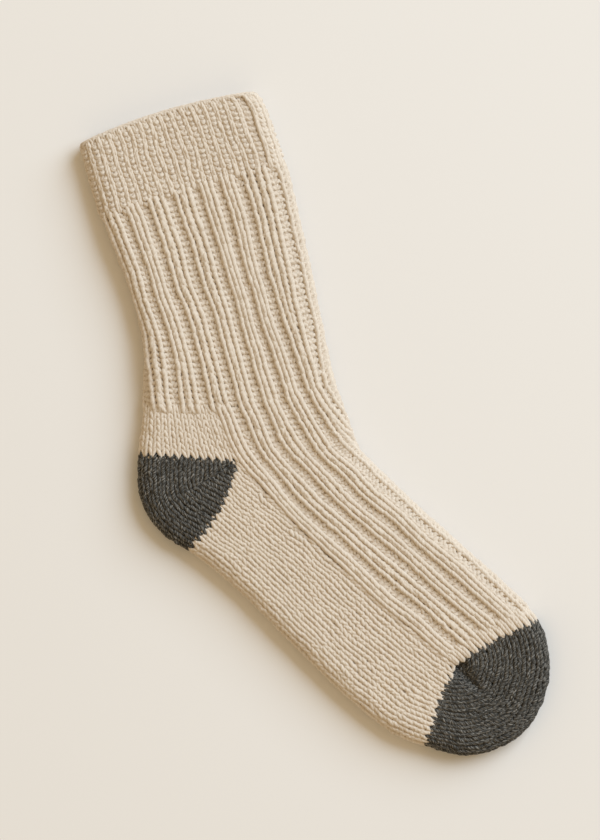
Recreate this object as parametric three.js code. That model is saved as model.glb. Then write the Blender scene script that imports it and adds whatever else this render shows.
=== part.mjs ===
// A hand-knitted wool sock lying flat on its side, as the sections it is knitted in.
//
// Millimetres, +Z up. The leg runs along Y with its mouth at +Y, and the foot points
// to +X and -Y. Every section is a hollow wall of fabric: an upper layer, a lower layer
// and the fold that joins them along the outline of the sock. The inside is open from
// the mouth to the toe. The flat underside lies in the plane z = 0.
//
// A knitted row is drawn by three points: where it folds over the back or sole edge,
// where it crosses the line that splits back from front, and where it folds over the
// front edge.

import * as THREE from 'three';

// ---------------------------------------------------------------- driving dimensions

// Fabric
const FLAT_HEIGHT = 15; // both layers and the air between them
const WALL = 3.5; // one layer of fabric
const FOLD_RUN = 12; // distance from a fold at which the fabric lies flat
const SECTION_GAP = 0.3; // between one section and the next

// Leg
const MOUTH_WIDTH = 98; // across the mouth, lying flat
const MOUTH_BOW = 4; // rise of the mouth's middle over its two ends
const MOUTH_FLARE = 4; // how far the front edge widens down the cast-on edge
const CAST_ON_DEPTH = 4.5; // rolled edge at the mouth
const CAST_ON_SWELL = 0.5; // how far the rolled edge stands out
const CUFF_DEPTH = 42; // mouth to the end of the cuff
const CALF_WIDTH = 104.5; // across the leg just under the cuff
const CALF_LEAN = 3; // how far the leg's middle lies in front of the mouth's
const SHIN_WIDTH = 98; // across the narrowest part of the leg
const SHIN_DEPTH = 100; // mouth to the narrowest part
const CORNER_DEPTH = 189; // mouth to the corner where heel, sole and instep meet
const CORNER_BACK = 15; // that corner, behind the mouth's middle
const BAND_DEPTH = 29; // plain band over the heel, at its inner end
const BAND_DEPTH_BACK = 25; // the same, along the back edge
const BAND_SPLIT_TURN = 84; // degrees from +X at which its inner end rises
const BAND_BACK_TURN = 67; // degrees from +X at which the back edge rises beside it
const BAND_FRONT_TUCK = 2; // how far the front edge lies behind the shin's at its top
const BAND_FRONT_DROP = 4; // how much lower than its depth it meets the front edge
const ANKLE_TUCK = 0.5; // how far the front edge lies behind the shin's at the corner
const ANKLE_DROP = 1; // how much lower than the corner that place is

// Heel
const HEEL_TOP_WIDTH = 55; // corner to the back edge along the heel's first row
const HEEL_TOP_TILT = 21; // degrees that this row drops towards the corner
const HEEL_SOLE_WIDTH = 56.5; // corner to the sole edge along the heel's last row
const HEEL_SOLE_TILT = 44; // degrees that this row drops away from the corner
const HEEL_FULLNESS = 58; // deepest point of the heel below the foot's split line
const HEEL_PIVOT_RUN = 30.5; // length of the turn of the short rows, from the corner
const HEEL_PIVOT_TILT = 15; // degrees that the turn drops away from the corner

// Foot
const FOOT_TILT = 60.2; // degrees that the foot drops from +X
const FOOT_RUN = 159; // corner at the heel to corner at the toe
const SOLE_WIDTH = 53; // split line to the sole edge
const INSTEP_WIDTH = 49.5; // split line to the front edge
const ARCH_SHARE = 0.26; // where the foot is slimmest, as a share of its run
const ARCH_RISE = 1; // how far the split line bows to the front there

// Toe
const TOE_LENGTH = 55; // corner at the toe to the tip
const TOE_SIDE_RUN = 20; // how far the toe's first and last rows lean forwards
const TOE_PIVOT_RUN = 18.5; // length of the turn of the short rows, from the corner

// Smoothness
const FOLD_STEPS = 8; // facets round a fold
const GORE_START = 1; // where the short rows begin, clear of the corner
const CAST_ON_ROWS = 5;
const CUFF_ROWS = 5;
const LEG_ROWS = 11;
const BAND_ROWS = 4;
const HEEL_ROWS = 7;
const FOOT_ROWS = 14;
const TOE_ROWS = 9;

const OATMEAL = '#dccdb6';
const CHARCOAL = '#4b4a47';

// --------------------------------------------------------------------- plan of the sock

const degrees = (angle) => THREE.MathUtils.degToRad(angle);
const polar = (angle, length) => {
  const turn = degrees(angle);
  return new THREE.Vector2(Math.cos(turn) * length, Math.sin(turn) * length);
};
const legPoint = (forwards, down) => new THREE.Vector2(forwards, -down);

// The foot is measured from the corner: along it towards the toe, and across it
// towards the front edge.
const corner = legPoint(-CORNER_BACK, CORNER_DEPTH);
const footAlong = polar(-FOOT_TILT, 1);
const footAcross = polar(90 - FOOT_TILT, 1);
const footPoint = (run, rise) =>
  corner.clone().addScaledVector(footAlong, run).addScaledVector(footAcross, rise);

const heelTop = corner.clone().add(polar(180 - HEEL_TOP_TILT, HEEL_TOP_WIDTH));
const heelSole = corner.clone().add(polar(180 + HEEL_SOLE_TILT, HEEL_SOLE_WIDTH));
const bandTop = heelTop.clone().add(polar(BAND_BACK_TURN, BAND_DEPTH_BACK));
const bandSplit = corner.clone().add(polar(BAND_SPLIT_TURN, BAND_DEPTH));
const bandFront = legPoint(
  SHIN_WIDTH / 2 - BAND_FRONT_TUCK,
  CORNER_DEPTH - BAND_DEPTH + BAND_FRONT_DROP,
);
const ankleFront = legPoint(SHIN_WIDTH / 2 - ANKLE_TUCK, CORNER_DEPTH + ANKLE_DROP);
const toeCorner = footPoint(FOOT_RUN, 0);

// The outline runs from the mouth down the back edge, round the heel, along the sole,
// round the toe and up the front edge to the mouth again. A name marks the places
// where sections end. The stops between them give the heel, sole, toe and instep their
// curve, as shares of the size that each curve belongs to.
const outlineStops = [
  { name: 'mouthBack', at: legPoint(-MOUTH_WIDTH / 2, 0) },
  { name: 'castOnBack', at: legPoint(-MOUTH_WIDTH / 2, CAST_ON_DEPTH) },
  { name: 'cuffBack', at: legPoint(CALF_LEAN - CALF_WIDTH / 2, CUFF_DEPTH) },
  { name: 'shinBack', at: legPoint(CALF_LEAN - SHIN_WIDTH / 2, SHIN_DEPTH) },
  { name: 'bandBack', at: bandTop },
  { name: 'heelTop', at: heelTop },
  { at: footPoint(-HEEL_FULLNESS * 0.51, -HEEL_FULLNESS * 0.84) },
  { name: 'heelMiddle', at: footPoint(-HEEL_FULLNESS * 0.3, -HEEL_FULLNESS * 0.96) },
  { at: footPoint(-HEEL_FULLNESS * 0.02, -HEEL_FULLNESS) },
  { name: 'heelSole', at: heelSole },
  { at: footPoint(FOOT_RUN * 0.3, -SOLE_WIDTH * 0.975) },
  { at: footPoint(FOOT_RUN * 0.6, -SOLE_WIDTH) },
  { at: footPoint(FOOT_RUN * 0.86, -SOLE_WIDTH) },
  { at: footPoint(FOOT_RUN + TOE_SIDE_RUN * 0.25, -SOLE_WIDTH * 0.94) },
  { name: 'toeSole', at: footPoint(FOOT_RUN + TOE_SIDE_RUN, -SOLE_WIDTH * 0.82) },
  { at: footPoint(FOOT_RUN + TOE_LENGTH * 0.77, -SOLE_WIDTH * 0.57) },
  { name: 'toeTip', at: footPoint(FOOT_RUN + TOE_LENGTH, -SOLE_WIDTH * 0.04) },
  { at: footPoint(FOOT_RUN + TOE_LENGTH * 0.85, INSTEP_WIDTH * 0.55) },
  { at: footPoint(FOOT_RUN + TOE_LENGTH * 0.52, INSTEP_WIDTH * 0.91) },
  { name: 'toeFront', at: footPoint(FOOT_RUN + TOE_SIDE_RUN * 0.85, INSTEP_WIDTH) },
  { at: footPoint(FOOT_RUN * 0.75, INSTEP_WIDTH) },
  { at: footPoint(FOOT_RUN * 0.5, INSTEP_WIDTH * 0.98) },
  { name: 'footFront', at: footPoint(FOOT_RUN * ARCH_SHARE, INSTEP_WIDTH * 1.01) },
  { name: 'heelFront', at: ankleFront },
  { name: 'bandFront', at: bandFront },
  { name: 'shinFront', at: legPoint(CALF_LEAN + SHIN_WIDTH / 2, SHIN_DEPTH) },
  { name: 'cuffFront', at: legPoint(CALF_LEAN + CALF_WIDTH / 2, CUFF_DEPTH) },
  { name: 'castOnFront', at: legPoint(MOUTH_WIDTH / 2 + MOUTH_FLARE, CAST_ON_DEPTH) },
  { name: 'mouthFront', at: legPoint(MOUTH_WIDTH / 2 + MOUTH_FLARE / 2, 0) },
];

// The line that splits back from front, and sole from instep.
const splitStops = [
  { name: 'mouth', at: legPoint(0, -MOUTH_BOW) },
  { name: 'castOn', at: legPoint(0, CAST_ON_DEPTH - MOUTH_BOW) },
  { name: 'cuff', at: legPoint(CALF_LEAN, CUFF_DEPTH - MOUTH_BOW / 2) },
  { name: 'shin', at: legPoint(CALF_LEAN / 2, SHIN_DEPTH + MOUTH_BOW / 2) },
  { name: 'band', at: bandSplit },
  { name: 'corner', at: corner },
  { name: 'foot', at: footPoint(FOOT_RUN * ARCH_SHARE, ARCH_RISE) },
  { name: 'toeCorner', at: toeCorner },
];

/** A smooth curve through named stops, sampled between any two of them. */
class Route {
  constructor(stops) {
    const points = stops.map(({ at }) => new THREE.Vector3(at.x, at.y, 0));
    this.last = stops.length - 1;
    this.curve = new THREE.CatmullRomCurve3(points, false, 'centripetal');
    this.index = new Map(stops.map(({ name }, place) => [name, place]));
  }

  /** `count` points from one stop to another, in either direction. */
  between(start, end, count) {
    const from = this.index.get(start);
    const to = this.index.get(end);
    return Array.from({ length: count }, (_, step) => {
      const place = from + ((to - from) * step) / (count - 1);
      const point = this.curve.getPoint(place / this.last);
      return new THREE.Vector2(point.x, point.y);
    });
  }
}

const outline = new Route(outlineStops);
const split = new Route(splitStops);

/** `count` points on a straight line. */
function straight(start, end, count) {
  return Array.from({ length: count }, (_, step) => start.clone().lerp(end, step / (count - 1)));
}

/** Moves the first and last points of a line inwards by half a section gap. */
function trimmed(points) {
  const line = points.map((point) => point.clone());
  const last = line.length - 1;
  line[0].addScaledVector(points[1].clone().sub(points[0]).normalize(), SECTION_GAP / 2);
  line[last].addScaledVector(
    points[last - 1].clone().sub(points[last]).normalize(),
    SECTION_GAP / 2,
  );
  return line;
}

// --------------------------------------------------------------------- fabric sections

/**
 * One row's wall round a fold, from the inner end of the upper layer, over the fold, to
 * the inner end of the lower layer: its outer points and its inner points.
 */
function foldedWall(fold, end, swell = 0) {
  const inwards = end.clone().sub(fold).normalize();
  const reach = end.distanceTo(fold);
  const middle = FLAT_HEIGHT / 2;
  const point = (distance, height) =>
    new THREE.Vector3(fold.x + inwards.x * distance, fold.y + inwards.y * distance, height);
  const outer = [point(reach, FLAT_HEIGHT)];
  const inner = [point(reach, FLAT_HEIGHT - WALL)];
  for (let step = 0; step <= FOLD_STEPS; step += 1) {
    const turn = degrees(90 - (180 * step) / FOLD_STEPS);
    const rise = Math.sin(turn);
    const tuck = 1 - Math.cos(turn);
    outer.push(point(FOLD_RUN * tuck - swell * (1 - tuck), middle * (1 + rise)));
    inner.push(point(WALL + (FOLD_RUN - WALL) * tuck, middle + (middle - WALL) * rise));
  }
  outer.push(point(reach, 0));
  inner.push(point(reach, WALL));
  return { outer, inner };
}

/** One row's wall all the way round: back fold, lower layer, front fold, upper layer. */
function roundWall(back, middle, front, swell = 0) {
  const rear = foldedWall(back, middle, swell);
  const fore = foldedWall(front, middle, swell);
  const around = (side) => [...rear[side], ...fore[side].slice(1, -1).reverse()];
  return { outer: around('outer'), inner: around('inner') };
}

/**
 * A closed solid from one wall outline per row. Neighbouring rows are joined by strips
 * outside and inside, and rims close it at its first and last rows. A wall that isn't
 * closed in itself also gets a rim along each of its two long ends.
 */
function fabricSolid(walls, closed) {
  const rows = walls.length;
  const width = walls[0].outer.length;
  const positions = [];
  for (const side of ['outer', 'inner']) {
    for (const wall of walls) {
      wall[side].forEach(({ x, y, z }) => positions.push(x, y, z));
    }
  }
  const outerAt = (row, column) => row * width + (column % width);
  const innerAt = (row, column) => rows * width + outerAt(row, column);
  const faces = [];
  const quad = (a, b, c, d) => faces.push(a, b, c, a, c, d);
  const strips = closed ? width : width - 1;
  for (let column = 0; column < strips; column += 1) {
    const next = column + 1;
    for (let row = 0; row < rows - 1; row += 1) {
      quad(outerAt(row, column), outerAt(row + 1, column), outerAt(row + 1, next), outerAt(row, next));
      quad(innerAt(row, column), innerAt(row, next), innerAt(row + 1, next), innerAt(row + 1, column));
    }
    quad(outerAt(0, column), outerAt(0, next), innerAt(0, next), innerAt(0, column));
    const end = rows - 1;
    quad(outerAt(end, column), innerAt(end, column), innerAt(end, next), outerAt(end, next));
  }
  if (!closed) {
    const end = width - 1;
    for (let row = 0; row < rows - 1; row += 1) {
      quad(outerAt(row, 0), innerAt(row, 0), innerAt(row + 1, 0), outerAt(row + 1, 0));
      quad(outerAt(row, end), outerAt(row + 1, end), innerAt(row + 1, end), innerAt(row, end));
    }
  }
  return facingOut(positions, faces);
}

/** An indexed geometry whose faces point out of the solid. */
function facingOut(positions, faces) {
  const corners = [new THREE.Vector3(), new THREE.Vector3(), new THREE.Vector3()];
  let volume = 0;
  for (let face = 0; face < faces.length; face += 3) {
    corners.forEach((point, place) => point.fromArray(positions, faces[face + place] * 3));
    volume += corners[0].dot(corners[1].cross(corners[2]));
  }
  const outwards = volume > 0 ? faces : faces.slice().reverse();
  const geometry = new THREE.BufferGeometry();
  geometry.setAttribute('position', new THREE.Float32BufferAttribute(positions, 3));
  geometry.setIndex(outwards);
  geometry.computeVertexNormals();
  return geometry;
}

const sock = new THREE.Group();

/** Adds a section to the sock as a named mesh in its own yarn. */
function addSection(name, geometry, colour) {
  const yarn = new THREE.MeshStandardMaterial({ color: colour, roughness: 0.95, metalness: 0 });
  const mesh = new THREE.Mesh(geometry, yarn);
  mesh.name = name;
  sock.add(mesh);
}

/** A section that goes all the way round, between two stops of the leg. */
function addRound(name, from, to, rows, colour, swellAt = () => 0) {
  const back = trimmed(outline.between(`${from}Back`, `${to}Back`, rows));
  const middle = trimmed(split.between(from, to, rows));
  const front = trimmed(outline.between(`${from}Front`, `${to}Front`, rows));
  const walls = back.map((point, row) =>
    roundWall(point, middle[row], front[row], swellAt(row / (rows - 1))),
  );
  addSection(name, fabricSolid(walls, true), colour);
}

/** A section round one fold: rows from its fold line to its inner line. */
function addFolded(name, foldLine, innerLine, colour) {
  const folds = trimmed(foldLine);
  const ends = trimmed(innerLine).map((end, row) =>
    end.addScaledVector(folds[row].clone().sub(end).normalize(), SECTION_GAP / 2),
  );
  const walls = folds.map((fold, row) => foldedWall(fold, ends[row]));
  addSection(name, fabricSolid(walls, false), colour);
}

/**
 * Half of a cup of short rows. Its rows fan out from a turn line that runs from the
 * corner of the cup to its pivot, and the other half meets it along that line.
 */
function addShortRows(name, foldLine, cupCorner, pivot, colour) {
  const turn = pivot.clone().sub(cupCorner).normalize();
  const aside = new THREE.Vector2(-turn.y, turn.x);
  const facing = foldLine[0].clone().sub(pivot);
  const clear = Math.sign(facing.dot(aside)) * (SECTION_GAP / 2);
  const start = cupCorner.clone().addScaledVector(turn, GORE_START);
  const turnLine = straight(start, pivot, foldLine.length).map((point) =>
    point.addScaledVector(aside, clear),
  );
  const folds = trimmed(foldLine);
  const walls = folds.map((fold, row) => foldedWall(fold, turnLine[row]));
  addSection(name, fabricSolid(walls, false), colour);
}

// ---------------------------------------------------------------------------- leg

const rolled = (share) => CAST_ON_SWELL * Math.sin(Math.PI * share);
addRound('cast_on_edge', 'mouth', 'castOn', CAST_ON_ROWS, OATMEAL, rolled);
addRound('ribbed_cuff', 'castOn', 'cuff', CUFF_ROWS, OATMEAL);
addRound('ribbed_leg', 'cuff', 'band', LEG_ROWS, OATMEAL);

// --------------------------------------------------------------------------- heel

addFolded(
  'heel_band',
  outline.between('bandBack', 'heelTop', BAND_ROWS),
  split.between('band', 'corner', BAND_ROWS),
  OATMEAL,
);

const heelPivot = corner.clone().add(polar(180 + HEEL_PIVOT_TILT, HEEL_PIVOT_RUN));
addShortRows(
  'heel_back',
  outline.between('heelTop', 'heelMiddle', HEEL_ROWS),
  corner,
  heelPivot,
  CHARCOAL,
);
addShortRows(
  'heel_base',
  outline.between('heelSole', 'heelMiddle', HEEL_ROWS),
  corner,
  heelPivot,
  CHARCOAL,
);

// --------------------------------------------------------------------------- foot

addFolded(
  'sole',
  outline.between('heelSole', 'toeSole', FOOT_ROWS),
  split.between('corner', 'toeCorner', FOOT_ROWS),
  OATMEAL,
);
addFolded(
  'instep',
  [
    ...outline.between('bandFront', 'heelFront', BAND_ROWS).slice(0, -1),
    ...outline.between('heelFront', 'toeFront', FOOT_ROWS),
  ],
  [
    ...split.between('band', 'corner', BAND_ROWS).slice(0, -1),
    ...split.between('corner', 'toeCorner', FOOT_ROWS),
  ],
  OATMEAL,
);

// ---------------------------------------------------------------------------- toe

const toePivot = toeCorner.clone().addScaledVector(footAlong, TOE_PIVOT_RUN);
addShortRows(
  'toe_underside',
  outline.between('toeSole', 'toeTip', TOE_ROWS),
  toeCorner,
  toePivot,
  CHARCOAL,
);
addShortRows(
  'toe_top',
  outline.between('toeFront', 'toeTip', TOE_ROWS),
  toeCorner,
  toePivot,
  CHARCOAL,
);

// The origin is the middle of the sock's bounding box, on the surface it lies on.
const box = new THREE.Box3().setFromObject(sock);
const centre = box.getCenter(new THREE.Vector3());
sock.position.set(-centre.x, -centre.y, 0);

export default sock;
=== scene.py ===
"""A hand-knitted wool sock lying flat on its side, knitted stitch by stitch.

Every row of knitting is one strand of yarn that loops through the row before it. The
strands follow a cloth: a grid of places and outward directions that is worked out from
the plan of the sock. Sizes are in metres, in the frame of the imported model.
"""

import logging
import math
from dataclasses import dataclass
from enum import Enum
from functools import cache
from typing import Sequence

import bpy
import numpy as np
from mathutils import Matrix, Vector

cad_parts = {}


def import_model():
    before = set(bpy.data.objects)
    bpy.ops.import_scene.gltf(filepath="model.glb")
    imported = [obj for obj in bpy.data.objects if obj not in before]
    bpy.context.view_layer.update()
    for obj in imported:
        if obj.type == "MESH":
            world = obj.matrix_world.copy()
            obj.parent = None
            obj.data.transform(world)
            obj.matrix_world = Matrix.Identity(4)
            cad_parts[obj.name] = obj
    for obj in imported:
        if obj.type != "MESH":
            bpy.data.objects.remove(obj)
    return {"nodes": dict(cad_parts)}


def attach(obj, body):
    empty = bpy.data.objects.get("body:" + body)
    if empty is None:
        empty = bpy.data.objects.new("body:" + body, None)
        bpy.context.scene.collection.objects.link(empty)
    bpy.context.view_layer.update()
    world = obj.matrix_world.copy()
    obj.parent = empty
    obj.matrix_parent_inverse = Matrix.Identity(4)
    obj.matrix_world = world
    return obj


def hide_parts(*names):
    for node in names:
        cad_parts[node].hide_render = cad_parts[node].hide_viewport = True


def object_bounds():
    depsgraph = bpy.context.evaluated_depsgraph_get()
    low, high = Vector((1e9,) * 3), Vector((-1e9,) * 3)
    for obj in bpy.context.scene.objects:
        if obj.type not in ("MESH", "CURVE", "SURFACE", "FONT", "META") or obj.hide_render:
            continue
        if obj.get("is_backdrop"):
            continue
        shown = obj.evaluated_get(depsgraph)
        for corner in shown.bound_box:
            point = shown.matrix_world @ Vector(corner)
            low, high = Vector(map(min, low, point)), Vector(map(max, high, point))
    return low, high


Array = np.ndarray
MM = 0.001
LAST_REACH = 1.2  # how much further the last loops before another yarn reach
FOOT_ROWS = 50  # of sole and instep, from the heel to the toe

logging.basicConfig(level=logging.INFO, format="%(message)s")
log = logging.getLogger("sock")


# ------------------------------------------------------------------------- small maths


def polar(angle: float, length: float) -> Array:
    """Returns the plan vector of a length at an angle in degrees from +X."""
    turn = math.radians(angle)
    return np.array([math.cos(turn), math.sin(turn)]) * length


def ease(share: Array | float) -> Array | float:
    """Returns shares from 0 to 1 eased at both ends."""
    held = np.clip(share, 0.0, 1.0)
    return held * held * (3.0 - 2.0 * held)


def unit(vectors: Array) -> Array:
    """Returns vectors scaled to length one along the last axis."""
    return vectors / np.maximum(np.linalg.norm(vectors, axis=-1, keepdims=True), 1e-12)


def wander(rng: np.random.Generator, count: int, reach: int) -> Array:
    """Makes a smooth random line around zero.

    Args:
        rng: The source of the random numbers.
        count: How many values the line has.
        reach: Over how many values it stays alike.

    Returns:
        The values, with a spread of one.
    """
    raw = rng.normal(size=count + 2 * reach)
    window = np.hanning(2 * reach + 1)
    smooth = np.convolve(raw, window, mode="same")[reach:reach + count]
    return smooth / math.sqrt(float((window**2).sum()))


def run_of(line: Array) -> Array:
    """Returns the length of a line up to each of its points."""
    return np.concatenate([[0.0], np.cumsum(np.linalg.norm(np.diff(line, axis=0), axis=1))])


def read_line(line: Array, known: Array, places: Array) -> Array:
    """Returns points of a line in plan, at places measured as its known ones are."""
    return np.stack([np.interp(places, known, line[:, axis]) for axis in (0, 1)], axis=1)


def read_grid(grid: Array, row: Array, column: Array) -> Array:
    """Reads a grid between its points.

    Args:
        grid: The values, by row and column.
        row: Places along its first axis.
        column: Places along its second.

    Returns:
        The values there.
    """
    r = np.clip(np.floor(row).astype(int), 0, len(grid) - 2)
    c = column.astype(int)
    wide = (...,) + (None,) * (grid.ndim - 2)
    fr, fc = (row - r)[wide], (column - c)[wide]
    upper = grid[r, c] * (1 - fc) + grid[r, c + 1] * fc
    lower = grid[r + 1, c] * (1 - fc) + grid[r + 1, c + 1] * fc
    return upper * (1 - fr) + lower * fr


def bowed(start: Array, end: Array, bow: Array, count: int) -> Array:
    """Returns points on a curve between two places, its middle pushed aside by a bow."""
    share = np.linspace(0.0, 1.0, count)[:, None]
    return start * (1 - share) + end * share + bow * (4 * share * (1 - share))


# --------------------------------------------------------------------- plan of the sock


class Route:
    """A smooth curve through named stops, read by length between any two of them."""

    FINENESS = 60

    def __init__(self, stops: Sequence[tuple[str, Array]]) -> None:
        """Keeps the stops: each one's name, which may be empty, and its place."""
        self.points = np.array([place for _, place in stops])
        self.index = {name: step for step, (name, _) in enumerate(stops) if name}

    def _point(self, place: float) -> Array:
        """Reads the curve, a centripetal spline.

        Args:
            place: A place on it, counted in stops.

        Returns:
            The point there.
        """
        last = len(self.points) - 1
        step = min(int(place), last - 1)
        share = place - step
        start, end = self.points[step], self.points[step + 1]
        before = self.points[step - 1] if step > 0 else 2 * start - end
        after = self.points[step + 2] if step + 2 <= last else 2 * end - start
        gaps = [
            max(float(np.sum((b - a) ** 2)) ** 0.25, 1e-6)
            for a, b in ((before, start), (start, end), (end, after))
        ]
        leave = (start - before) / gaps[0] - (end - before) / (gaps[0] + gaps[1])
        leave = (leave + (end - start) / gaps[1]) * gaps[1]
        arrive = (end - start) / gaps[1] - (after - start) / (gaps[1] + gaps[2])
        arrive = (arrive + (after - end) / gaps[2]) * gaps[1]
        bend = -3 * start + 3 * end - 2 * leave - arrive
        twist = 2 * start - 2 * end + leave + arrive
        return start + leave * share + bend * share**2 + twist * share**3

    def between(self, start: str, end: str, count: int) -> Array:
        """Spaces points evenly from one stop to another, in either direction.

        Args:
            start: The first stop's name.
            end: The last stop's name.
            count: How many points there are.

        Returns:
            The points.
        """
        first, last = self.index[start], self.index[end]
        fine = int(abs(last - first)) * self.FINENESS + 1
        line = np.array([self._point(place) for place in np.linspace(first, last, fine)])
        run = run_of(line)
        return read_line(line, run, np.linspace(0.0, run[-1], count))


@dataclass(frozen=True)
class SockPlan:
    """The sizes of the sock lying flat, and the lines that follow from them."""

    flat_height: float = 15 * MM
    wall: float = 3.5 * MM
    fold_run: float = 12 * MM
    mouth_width: float = 98 * MM
    mouth_bow: float = 4 * MM
    mouth_flare: float = 4 * MM
    cast_on_depth: float = 4.5 * MM
    cuff_depth: float = 42 * MM
    calf_width: float = 104.5 * MM
    calf_lean: float = 3 * MM
    shin_width: float = 98 * MM
    shin_depth: float = 100 * MM
    corner_depth: float = 189 * MM
    corner_back: float = 15 * MM
    band_depth: float = 29 * MM
    band_depth_back: float = 25 * MM
    band_split_turn: float = 84
    band_back_turn: float = 67
    band_front_tuck: float = 2 * MM
    band_front_drop: float = 4 * MM
    ankle_tuck: float = 0.5 * MM
    ankle_drop: float = 1 * MM
    heel_top_width: float = 55 * MM
    heel_top_tilt: float = 21
    heel_sole_width: float = 56.5 * MM
    heel_sole_tilt: float = 44
    heel_fullness: float = 58 * MM
    heel_pivot_run: float = 30.5 * MM
    heel_pivot_tilt: float = 15
    foot_tilt: float = 60.2
    foot_run: float = 159 * MM
    sole_width: float = 53 * MM
    instep_width: float = 49.5 * MM
    arch_share: float = 0.26
    arch_rise: float = 1 * MM
    toe_length: float = 55 * MM
    toe_side_run: float = 20 * MM
    toe_pivot_run: float = 18.5 * MM
    facing_depth: float = 31.1 * MM
    facing_turn: float = 96.8
    facing_bow: float = 3.8 * MM

    def leg_point(self, forwards: float, down: float) -> Array:
        """Returns a place by its distance in front of the mouth's middle and below it."""
        return np.array([forwards, -down])

    @property
    def corner(self) -> Array:
        """The corner where heel, sole and instep meet."""
        return self.leg_point(-self.corner_back, self.corner_depth)

    @property
    def along(self) -> Array:
        """The foot's direction towards the toe."""
        return polar(-self.foot_tilt, 1.0)

    @property
    def across(self) -> Array:
        """The foot's direction towards its front edge."""
        return polar(90 - self.foot_tilt, 1.0)

    def foot_point(self, run: float, rise: float) -> Array:
        """Returns a place by its distance from the corner along and across the foot."""
        return self.corner + self.along * run + self.across * rise

    @property
    def heel_pivot(self) -> Array:
        """Where the turn of the heel's short rows ends."""
        return self.corner + polar(180 + self.heel_pivot_tilt, self.heel_pivot_run)

    @property
    def toe_corner(self) -> Array:
        """Where the split line reaches the toe."""
        return self.foot_point(self.foot_run, 0.0)

    @property
    def toe_pivot(self) -> Array:
        """Where the turn of the toe's short rows ends."""
        return self.toe_corner + self.along * self.toe_pivot_run

    def outline(self) -> Route:
        """Draws the edge of the sock lying flat.

        Returns:
            The route from the mouth down the back, round the foot and up again.
        """
        leg, foot = self.leg_point, self.foot_point
        full, run, toe = self.heel_fullness, self.foot_run, self.toe_length
        sole, instep, side = self.sole_width, self.instep_width, self.toe_side_run
        heel_top = self.corner + polar(180 - self.heel_top_tilt, self.heel_top_width)
        heel_sole = self.corner + polar(180 + self.heel_sole_tilt, self.heel_sole_width)
        band_back = heel_top + polar(self.band_back_turn, self.band_depth_back)
        shin_half, calf_half = self.shin_width / 2, self.calf_width / 2
        band_front_depth = self.corner_depth - self.band_depth + self.band_front_drop
        return Route([
            ("mouthBack", leg(-self.mouth_width / 2, 0.0)),
            ("castOnBack", leg(-self.mouth_width / 2, self.cast_on_depth)),
            ("cuffBack", leg(self.calf_lean - calf_half, self.cuff_depth)),
            ("shinBack", leg(self.calf_lean - shin_half, self.shin_depth)),
            ("bandBack", band_back),
            ("heelTop", heel_top),
            ("", foot(-full * 0.51, -full * 0.84)),
            ("heelMiddle", foot(-full * 0.3, -full * 0.96)),
            ("", foot(-full * 0.02, -full)),
            ("heelSole", heel_sole),
            ("", foot(run * 0.3, -sole * 0.975)),
            ("", foot(run * 0.6, -sole)),
            ("", foot(run * 0.86, -sole)),
            ("", foot(run + side * 0.25, -sole * 0.94)),
            ("toeSole", foot(run + side, -sole * 0.82)),
            ("", foot(run + toe * 0.77, -sole * 0.57)),
            ("toeTip", foot(run + toe, -sole * 0.04)),
            ("", foot(run + toe * 0.85, instep * 0.55)),
            ("", foot(run + toe * 0.52, instep * 0.91)),
            ("toeFront", foot(run + side * 0.85, instep)),
            ("", foot(run * 0.75, instep)),
            ("", foot(run * 0.5, instep * 0.98)),
            ("footFront", foot(run * self.arch_share, instep * 1.01)),
            ("heelFront", leg(shin_half - self.ankle_tuck, self.corner_depth + self.ankle_drop)),
            ("bandFront", leg(shin_half - self.band_front_tuck, band_front_depth)),
            ("shinFront", leg(self.calf_lean + shin_half, self.shin_depth)),
            ("cuffFront", leg(self.calf_lean + calf_half, self.cuff_depth)),
            ("castOnFront", leg(self.mouth_width / 2 + self.mouth_flare, self.cast_on_depth)),
            ("mouthFront", leg(self.mouth_width / 2 + self.mouth_flare / 2, 0.0)),
        ])

    def split(self) -> Route:
        """Draws the line that parts back from front, and sole from instep.

        Returns:
            The route from the mouth to the toe.
        """
        leg, bow = self.leg_point, self.mouth_bow
        return Route([
            ("mouth", leg(0.0, -bow)),
            ("castOn", leg(0.0, self.cast_on_depth - bow)),
            ("cuff", leg(self.calf_lean, self.cuff_depth - bow / 2)),
            ("shin", leg(self.calf_lean / 2, self.shin_depth + bow / 2)),
            ("band", self.corner + polar(self.band_split_turn, self.band_depth)),
            ("corner", self.corner),
            ("foot", self.foot_point(self.foot_run * self.arch_share, self.arch_rise)),
            ("toeCorner", self.toe_corner),
        ])

    def facing(self) -> Route:
        """Draws the line on which the instep's first plain wale meets band and sole.

        Returns:
            The route from the band to the toe.
        """
        foot, run = self.foot_point, self.foot_run
        return Route([
            ("band", self.corner + polar(self.facing_turn, self.facing_depth)),
            ("corner", self.corner),
            ("", foot(run * 0.15, -self.facing_bow * 0.6)),
            ("", foot(run * 0.3, -self.facing_bow)),
            ("", foot(run * 0.65, -self.facing_bow * 0.85)),
            ("toeCorner", self.toe_corner),
        ])


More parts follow.
